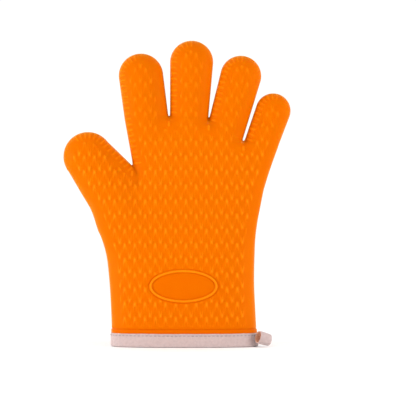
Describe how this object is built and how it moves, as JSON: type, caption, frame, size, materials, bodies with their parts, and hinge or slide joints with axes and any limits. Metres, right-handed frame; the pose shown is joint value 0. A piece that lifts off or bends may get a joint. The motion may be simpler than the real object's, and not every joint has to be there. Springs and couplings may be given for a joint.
{
  "type": "heat resistant glove",
  "caption": "Moulded silicone five-finger oven glove with a raised zigzag grip, a quilted cotton lining, a tape-bound cuff and a hanging loop; its fingers and thumb bend.",
  "frame": {"origin": "under the middle of the glove, on the plane that the cuff's bound edge stands on", "axes": "+Z from the cuff to the fingertips, +X from the thumb side to the little-finger side, the back of the hand faces -Y and the palm faces +Y"},
  "size_m": [0.2044, 0.0534, 0.2746],
  "materials": {
    "silicone": "satin",
    "wadding": "matte",
    "lining": "matte",
    "tape": "matte",
    "thread": "matte"
  },
  "bodies": {
    "hand": {"hand_shell": "silicone", "hand_wadding_back": "wadding", "hand_wadding_palm": "wadding", "hand_lining_back": "lining", "hand_lining_palm": "lining", "cuff_binding": "tape", "binding_stitches": "thread"},
    "thumb_base": {"thumb_base_shell": "silicone", "thumb_base_wadding": "wadding", "thumb_base_lining": "lining"},
    "thumb_tip": {"thumb_tip_shell": "silicone", "thumb_tip_wadding": "wadding", "thumb_tip_lining": "lining"},
    "index_base": {"index_base_shell": "silicone", "index_base_wadding": "wadding", "index_base_lining": "lining"},
    "index_tip": {"index_tip_shell": "silicone", "index_tip_wadding": "wadding", "index_tip_lining": "lining"},
    "middle_base": {"middle_base_shell": "silicone", "middle_base_wadding": "wadding", "middle_base_lining": "lining"},
    "middle_tip": {"middle_tip_shell": "silicone", "middle_tip_wadding": "wadding", "middle_tip_lining": "lining"},
    "ring_base": {"ring_base_shell": "silicone", "ring_base_wadding": "wadding", "ring_base_lining": "lining"},
    "ring_tip": {"ring_tip_shell": "silicone", "ring_tip_wadding": "wadding", "ring_tip_lining": "lining"},
    "little_base": {"little_base_shell": "silicone", "little_base_wadding": "wadding", "little_base_lining": "lining"},
    "little_tip": {"little_tip_shell": "silicone", "little_tip_wadding": "wadding", "little_tip_lining": "lining"},
    "hanging_loop": {"hanging_loop": "tape"}
  },
  "joints": [
    {"name": "thumb_knuckle", "type": "hinge", "parent": "hand", "child": "thumb_base", "pos_m": [-0.06805, 0, 0.15496], "axis": [-0.7865, 0, -0.6176], "range_deg": [-10, 40], "stiffness_Nm_per_rad": 0.15},
    {"name": "thumb_bend", "type": "hinge", "parent": "thumb_base", "child": "thumb_tip", "pos_m": [-0.07886, 0, 0.16872], "axis": [-0.7865, 0, -0.6176], "range_deg": [0, 45], "stiffness_Nm_per_rad": 0.12},
    {"name": "index_knuckle", "type": "hinge", "parent": "hand", "child": "index_base", "pos_m": [-0.02854, 0, 0.21363], "axis": [-0.9915, 0, -0.1302], "range_deg": [-10, 50], "stiffness_Nm_per_rad": 0.15},
    {"name": "index_bend", "type": "hinge", "parent": "index_base", "child": "index_tip", "pos_m": [-0.03154, 0, 0.23644], "axis": [-0.9915, 0, -0.1302], "range_deg": [0, 55], "stiffness_Nm_per_rad": 0.12},
    {"name": "middle_knuckle", "type": "hinge", "parent": "hand", "child": "middle_base", "pos_m": [0.01137, 0, 0.21529], "axis": [-0.999, 0, 0.0457], "range_deg": [-10, 50], "stiffness_Nm_per_rad": 0.15},
    {"name": "middle_bend", "type": "hinge", "parent": "middle_base", "child": "middle_tip", "pos_m": [0.01252, 0, 0.24027], "axis": [-0.999, 0, 0.0457], "range_deg": [0, 55], "stiffness_Nm_per_rad": 0.12},
    {"name": "ring_knuckle", "type": "hinge", "parent": "hand", "child": "ring_base", "pos_m": [0.04756, 0, 0.20716], "axis": [-0.9635, 0, 0.2676], "range_deg": [-10, 50], "stiffness_Nm_per_rad": 0.15},
    {"name": "ring_bend", "type": "hinge", "parent": "ring_base", "child": "ring_tip", "pos_m": [0.05398, 0, 0.23028], "axis": [-0.9635, 0, 0.2676], "range_deg": [0, 55], "stiffness_Nm_per_rad": 0.12},
    {"name": "little_knuckle", "type": "hinge", "parent": "hand", "child": "little_base", "pos_m": [0.07764, 0, 0.18704], "axis": [-0.9402, 0, 0.3405], "range_deg": [-10, 50], "stiffness_Nm_per_rad": 0.15},
    {"name": "little_bend", "type": "hinge", "parent": "little_base", "child": "little_tip", "pos_m": [0.08411, 0, 0.20491], "axis": [-0.9402, 0, 0.3405], "range_deg": [0, 55], "stiffness_Nm_per_rad": 0.12},
    {"name": "loop_swing", "type": "hinge", "parent": "hand", "child": "hanging_loop", "pos_m": [0.0713, -0.012, 0.0074], "axis": [0, 0, 1], "range_deg": [-15, 45], "stiffness_Nm_per_rad": 0.001}
  ]
}
